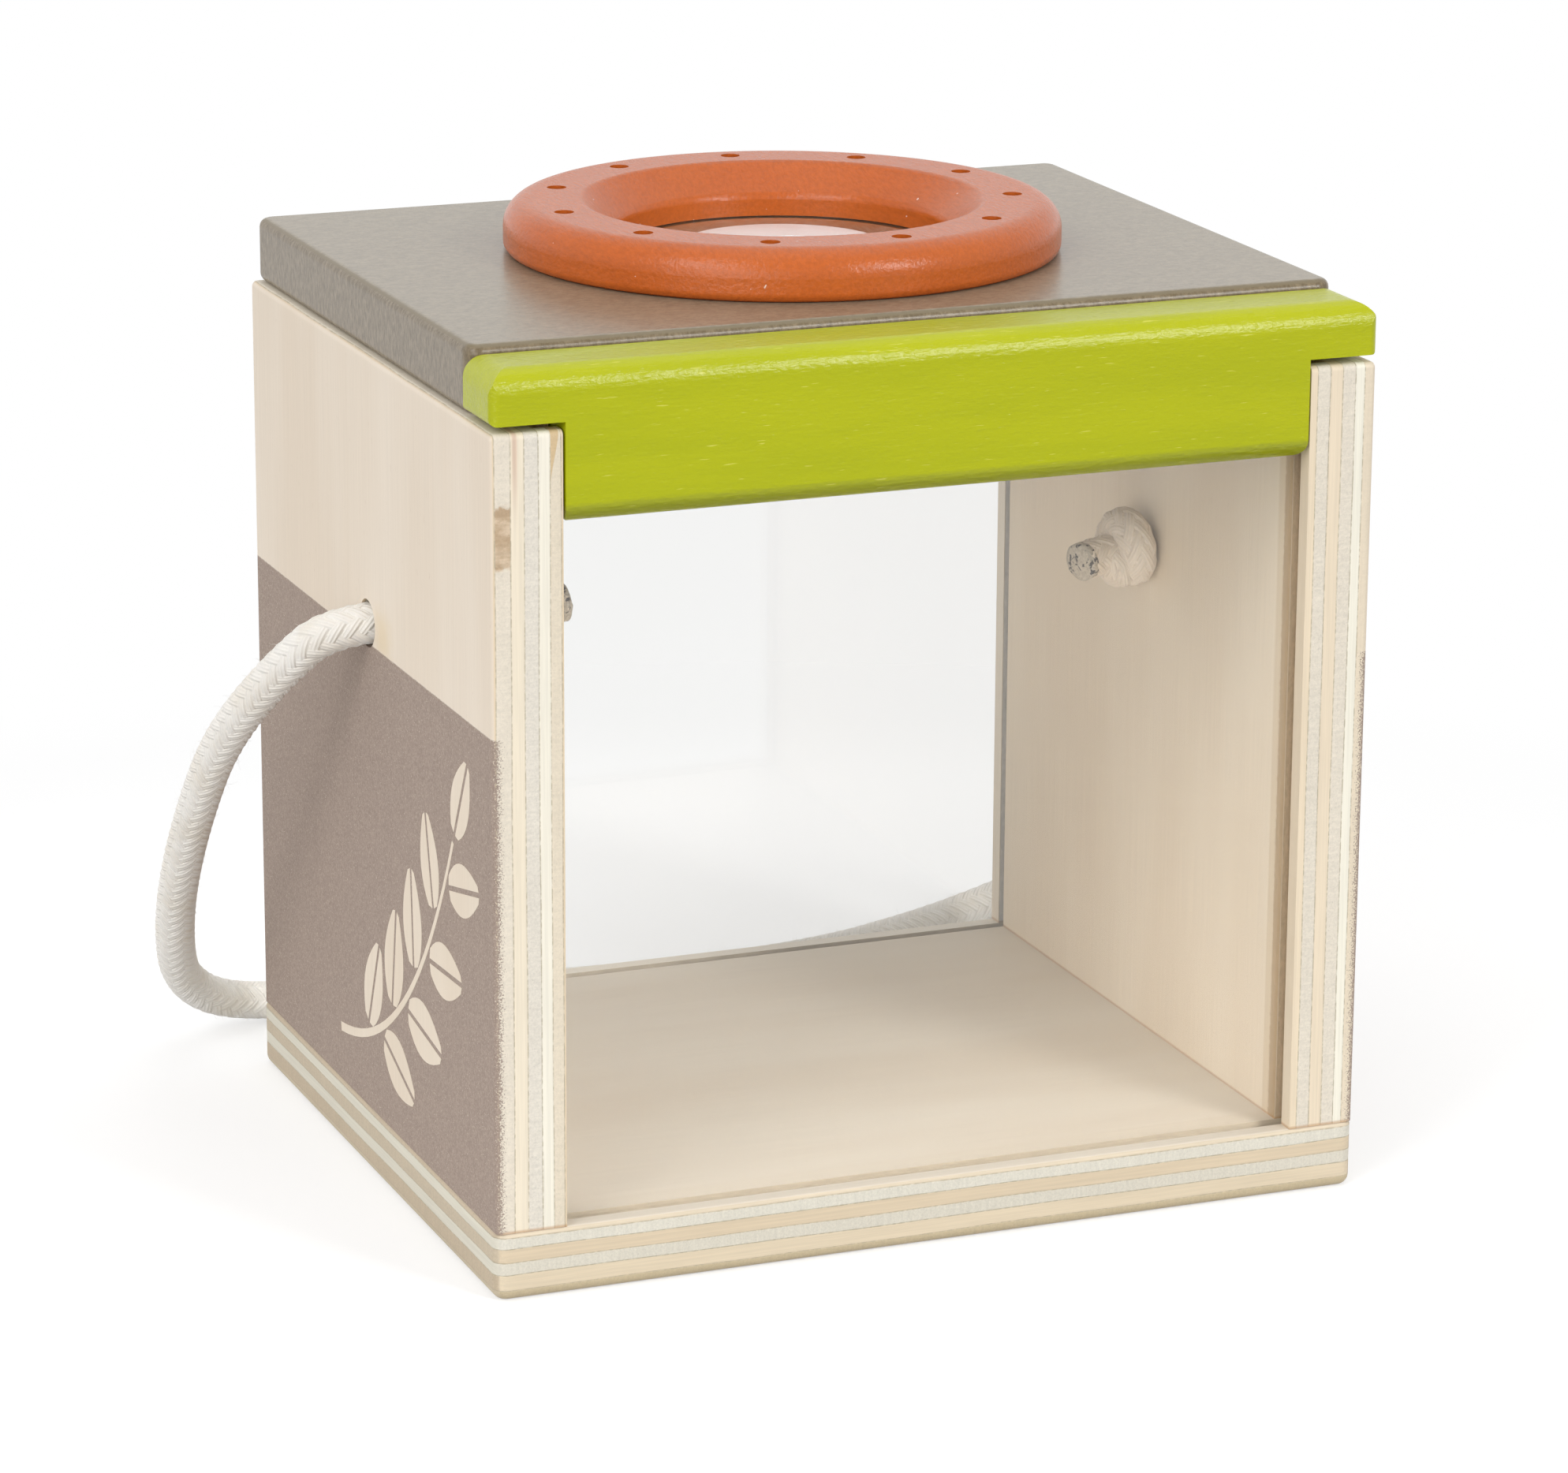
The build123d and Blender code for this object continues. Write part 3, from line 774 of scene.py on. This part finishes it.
def add_cut_end(bm, centre, way, radius):
    """The rough melted face that closes a cut rope end."""
    way = way.normalized()
    centre = centre + way * CUT_END_PROUD
    side = way.orthogonal().normalized()
    up = way.cross(side)
    rows = []
    for r in range(1, CUT_END_RINGS + 1):
        share = r / CUT_END_RINGS
        row = []
        for k in range(CUT_END_SPOKES):
            a = 2 * math.pi * k / CUT_END_SPOKES
            flat = centre + (side * math.cos(a) + up * math.sin(a)) * (radius * share)
            lump = noise.noise(flat * CUT_END_LUMPS) * 0.35 + 0.5 * math.cos(math.pi * share / 2)
            row.append(flat + way * (lump * MM * (1.0 if r < CUT_END_RINGS else 0.2)))
        rows.append(row)
    foot = [p - way * CUT_END_SKIRT for p in rows[-1]]
    crown = [centre + way * 0.4 * MM + (p - centre) * 0.1 for p in rows[0]]
    add_tube(bm, [crown] + rows + [foot], material=1)


def rope_object(name, build, *materials):
    """A mesh object filled by build(bm, layer)."""
    bm = bmesh.new()
    layer = bm.verts.layers.float.new("across")
    build(bm, layer)
    bmesh.ops.recalc_face_normals(bm, faces=bm.faces)
    return mesh_object(name, bm, *materials)


KNOT_TURN = 0.0031
KNOT_POINTS = 9
# Side, sag of the turn (y, z) and end of the tail (inward, y, z), in mm
KNOT_SHAPES = {
    "left_knot": (-1, (0, 0), (17.2, 0.6, 0.4)),
    "right_knot": (1, (-2.0, 1.4), (10.6, -3.4, 0.3)),
}


def knot_route(side, sag, tail):
    """A stopper knot inside one wall: out of the hole, once round itself, and the tail."""
    def at(inward, y, z):
        return (side * (wall_inner - inward * MM), y * MM, HOLE_HEIGHT + z * MM)
    turn = KNOT_TURN / MM
    middle_y, middle_z = sag
    route = [at(-4.0, 0, 0), at(-1.0, 0, 0), at(1.2, 0.6 + middle_y * 0.5, -0.8 + middle_z * 0.5)]
    for k in range(KNOT_POINTS + 2):
        a = math.radians(-100 - 360 * k / KNOT_POINTS)
        y, z = middle_y + turn * math.cos(a), middle_z + turn * math.sin(a)
        route.append(at(2.7 + 2.0 * k / KNOT_POINTS, y, z))
    route += [at(5.6, 0.6 + middle_y, -0.6 + middle_z), at(6.4, -0.3 + middle_y, -0.6 + middle_z)]
    inward, y, z = tail
    route.append(at((6.4 + inward) / 2, (middle_y + y) / 2, (middle_z + z) / 2 - 0.2))
    route.append(at(inward, y, z))
    return route


def cord_and_knots():
    """The handle's free cord and the two knots that hold it in the walls."""
    fibre = cotton("cotton", (1, 1, 1, 1))
    knot_fibre_painted_warm = cotton("knot_cotton_painted_warm_light", KNOT_PAINTED_WARM_LIGHT)
    singed = singed_cotton()
    route = [(-x, y, z) for x, y, z in LEFT_FALL]
    route += [(x, y, FLOOR_REST) for x, y in FLOOR_RUN]
    route += list(reversed(RIGHT_FALL))
    line = nurbs_points("cord_line", route)

    def build_cord(bm, layer):
        add_braid(bm, layer, line, CORD_DIAMETER, CORD_FILLING)
        add_fuzz(bm, layer, line)

    cord = rope_object("braided_cord", build_cord, fibre)
    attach(cord, "handle")
    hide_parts("handle_cord")
    for node, shape in KNOT_SHAPES.items():
        turns = nurbs_points(node + "_line", knot_route(*shape))

        def build(bm, layer, turns=turns):
            add_braid(bm, layer, turns, KNOT_DIAMETER, KNOT_FILLING)
            add_cut_end(bm, turns[-1], turns[-1] - turns[-3], CUT_END_RADIUS)

        piece = rope_object("braided_" + node, build, knot_fibre_painted_warm, singed)
        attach(piece, "handle")
        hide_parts(node)


# Leaf print on the walls

PRINT_PROUD = 0.00003
PRINT_SINK = 0.00006
STEM_START = Vector((0.014, 0.0165))
STEM_BEND = Vector((-0.016, 0.0200))
STEM_END = Vector((-0.034, 0.0560))
STEM_WIDTH = 0.0011
LEAF_COUNT = 9
LEAF_LENGTH = 0.0148
LEAF_WIDTH = 0.0034
LEAF_LEAN = 48.0
MIDRIB = 0.0007


def stem_point(t):
    """A point of the sprig's curved stem, as distance back and height on the wall."""
    return STEM_START * (1 - t) ** 2 + STEM_BEND * (2 * t * (1 - t)) + STEM_END * t ** 2


def half_leaf(root, way, length, side):
    """The outline of one half of a leaf, beside its midrib."""
    across = Vector((-way.y, way.x)) * side
    curve = [k / 12 for k in range(13)]
    outer = []
    for t in curve:
        swell = math.sin(math.pi * t ** 0.85) ** 0.9 * LEAF_WIDTH * length / LEAF_LENGTH
        outer.append(root + way * (length * t) + across * (MIDRIB / 2 + swell))
    inner = [root + way * (length * t) + across * MIDRIB / 2 for t in (0.94, 0.06)]
    return outer[1:-1] + inner


def sprig_outlines():
    """Outlines of the stem and of every half leaf."""
    outlines = []
    steps = [k / 20 for k in range(21)]
    left, right = [], []
    for t in steps:
        way = (stem_point(min(1, t + 0.01)) - stem_point(max(0, t - 0.01))).normalized()
        across = Vector((-way.y, way.x)) * (STEM_WIDTH / 2 * (1.15 - 0.5 * t))
        left.append(stem_point(t) + across)
        right.append(stem_point(t) - across)
    outlines.append(left + right[::-1])
    for k in range(LEAF_COUNT):
        t = 0.2 + 0.8 * k / (LEAF_COUNT - 1)
        way = (stem_point(min(1, t + 0.01)) - stem_point(t - 0.01)).normalized()
        last = k == LEAF_COUNT - 1
        turn = 0 if last else math.radians(LEAF_LEAN) * (1 if k % 2 else -1)
        way = Matrix.Rotation(turn, 2) @ way
        length = LEAF_LENGTH * (1.05 - 0.3 * abs(t - 0.45))
        root = stem_point(t) + way * (STEM_WIDTH * (0.6 if last else 1.1))
        outlines += [half_leaf(root, way, length, side) for side in (-1, 1)]
    return outlines


def leaf_print(side, material):
    """A leaf sprig left unprinted on the outer face of one wall."""
    bm = bmesh.new()
    for outline in sprig_outlines():
        rings = []
        for depth in (-PRINT_SINK, PRINT_PROUD):
            x = side * (wall_outer + depth)
            rings.append([bm.verts.new((x, p.x, p.y)) for p in outline])
        low, high = rings
        for k in range(len(low)):
            n = (k + 1) % len(low)
            bm.faces.new((low[k], low[n], high[n], high[k]))
        bm.faces.new(low)
        bm.faces.new(high)
    bmesh.ops.triangulate(bm, faces=[f for f in bm.faces if len(f.verts) > 4])
    bmesh.ops.recalc_face_normals(bm, faces=bm.faces)
    made = mesh_object("leaf_print_left" if side < 0 else "leaf_print_right", bm, material)
    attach(made, "box")


# Floor, light and background

FLOOR_SIZE = 6.0
FLOOR_WHITE = 0.62
FLOOR_EDGE = 0.22
FLOOR_REACH = (0.16, 0.34)
FLOOR_GLOW = 0.45
SHADOW_REACH = (0.13, 0.24)
WORLD_BACK = 1.2
WORLD_FRONT = 0.65
WORLD_TOP = 0.5
LIT_POINT = (0, 0, 0.06)
# Name, place, width, height and power of each lamp
LAMPS = [
    ("key_softbox", (-1.0, -0.62, 1.02), 0.6, 0.6, 5.6),
    ("fill_softbox", (-0.95, -0.95, 0.28), 0.9, 0.9, 5.7),
    ("front_softbox", (0.5, -1.02, 0.66), 0.24, 0.46, 5.4),
    ("top_softbox", (0.1, 0.1, 1.3), 0.9, 0.9, 2.0),
]


def seen_directly(tree):
    """1 for rays from the camera, and for those that clear or shiny pieces pass on."""
    path = tree.nodes.new("ShaderNodeLightPath")
    seen = path.outputs["Is Camera Ray"]
    for kind in ("Is Glossy Ray", "Is Transmission Ray"):
        either = tree.nodes.new("ShaderNodeMath")
        either.operation = "MAXIMUM"
        tree.links.new(seen, either.inputs[0])
        tree.links.new(path.outputs[kind], either.inputs[1])
        seen = either.outputs[0]
    return seen


def floor():
    """A plain white floor that keeps the object's shadow and runs out into plain white."""
    bm = bmesh.new()
    bmesh.ops.create_grid(bm, x_segments=8, y_segments=8, size=FLOOR_SIZE / 2)
    made = mesh_object("floor", bm)
    t = Tree("floor")
    away = t.math("POWER", t.math("ADD", t.math("MULTIPLY", t.x, t.x), t.math("MULTIPLY", t.y, t.y)), 0.5)
    near, far = [reach / MM for reach in FLOOR_REACH]
    white_card = t.mix(t.step(away, near, far), [FLOOR_WHITE] * 3 + [1], [FLOOR_EDGE] * 3 + [1])
    soft = t.node("BsdfDiffuse", {"Color": white_card})
    glow = t.node("Emission", {"Color": (1, 1, 1, 1), "Strength": FLOOR_GLOW})
    lit = t.node("AddShader", {0: soft.outputs[0], 1: glow.outputs[0]})
    white = t.node("Emission", {"Color": (1, 1, 1, 1), "Strength": 1.0})
    near, far = [reach / MM for reach in SHADOW_REACH]
    shown = t.node("MixShader", {0: t.step(away, near, far), 1: lit.outputs[0], 2: white.outputs[0]})
    seen = seen_directly(t.material.node_tree)
    both = t.node("MixShader", {0: seen, 1: soft.outputs[0], 2: shown.outputs[0]})
    made.data.materials.append(t.output(both.outputs[0]))


def world():
    """A white backdrop behind, a dimmer studio in front and above: full white wherever it is seen."""
    made = bpy.data.worlds.new("surround")
    made.use_nodes = True
    tree = made.node_tree
    tree.nodes.clear()
    place = tree.nodes.new("ShaderNodeTexCoord")
    apart = tree.nodes.new("ShaderNodeSeparateXYZ")
    tree.links.new(place.outputs["Generated"], apart.inputs[0])

    def ramp(value, low, high, at_low, at_high):
        made = tree.nodes.new("ShaderNodeMapRange")
        made.interpolation_type = "SMOOTHSTEP"
        for slot, given in zip(made.inputs, (value, low, high, at_low, at_high)):
            if isinstance(given, bpy.types.NodeSocket):
                tree.links.new(given, slot)
            else:
                slot.default_value = given
        return made.outputs[0]

    level = ramp(apart.outputs["Y"], -0.5, 0.45, WORLD_FRONT, WORLD_BACK)
    level = ramp(apart.outputs["Z"], 0.25, 0.9, level, WORLD_TOP)
    level = ramp(seen_directly(tree), 0.0, 1.0, level, 1.0)
    sky = tree.nodes.new("ShaderNodeBackground")
    sky.inputs["Color"].default_value = (1, 1, 1, 1)
    tree.links.new(level, sky.inputs["Strength"])
    out = tree.nodes.new("ShaderNodeOutputWorld")
    tree.links.new(sky.outputs[0], out.inputs["Surface"])
    bpy.context.scene.world = made


def softbox(name, place, target, width, height, power):
    """A studio lamp turned towards a point."""
    data = bpy.data.lights.new(name, "AREA")
    data.shape = "RECTANGLE"
    data.size = width
    data.size_y = height
    data.energy = power
    holder = bpy.data.objects.new(name, data)
    holder.location = place
    holder.rotation_euler = (Vector(target) - Vector(place)).to_track_quat("-Z", "Y").to_euler()
    bpy.context.scene.collection.objects.link(holder)


def lights():
    """A key lamp high at the front left, a wide one below it, a small one at the front right, one above."""
    for name, place, width, height, power in LAMPS:
        softbox(name, place, LIT_POINT, width, height, power)


def dress(node, material, cut=None):
    """Gives a CAD node its finish, and its left and right sides that of a cut where there is one."""
    mesh = nodes[node].data
    mesh.materials.clear()
    mesh.materials.append(material)
    if cut:
        mesh.materials.append(cut)
        for face in mesh.polygons:
            face.material_index = 1 if abs(face.normal.x) > 0.9 else 0


def finishes():
    """A material for every CAD node that stays in view."""
    dress("left_wall", wall_plywood("left_wall_plywood", LEFT_PLIES, True))
    dress("right_wall", wall_plywood("right_wall_plywood", RIGHT_PLIES, False))
    dress("base_board", base_plywood())
    pin_wood = plain_wood("dowel_wood", PIN_TONE, (1, 1, 0), (0, 0, 1))
    dress("base_dowels", pin_wood)
    dress("panel_dowels", pin_wood)
    dress("door_bar", green_paint())
    dress("top_panel", taupe_paint())
    dress("magnifier_ring", orange_paint())
    sheet = clear_plastic("clear_sheet", SHEET_TINT, SAWN)
    dress("front_pane", sheet)
    dress("rear_pane", sheet, sawn_plastic())
    dress("magnifier_lens", clear_plastic("clear_lens", LENS_TINT, POLISHED))


camera()
cord_and_knots()
finishes()
motif = plain_wood("unprinted_birch", MOTIF_TONE, (0, 1, 0), (0, 0, 1))
for wall_side in (-1, 1):
    leaf_print(wall_side, motif)
floor()
world()
lights()
bpy.context.scene.view_settings.view_transform = "Standard"
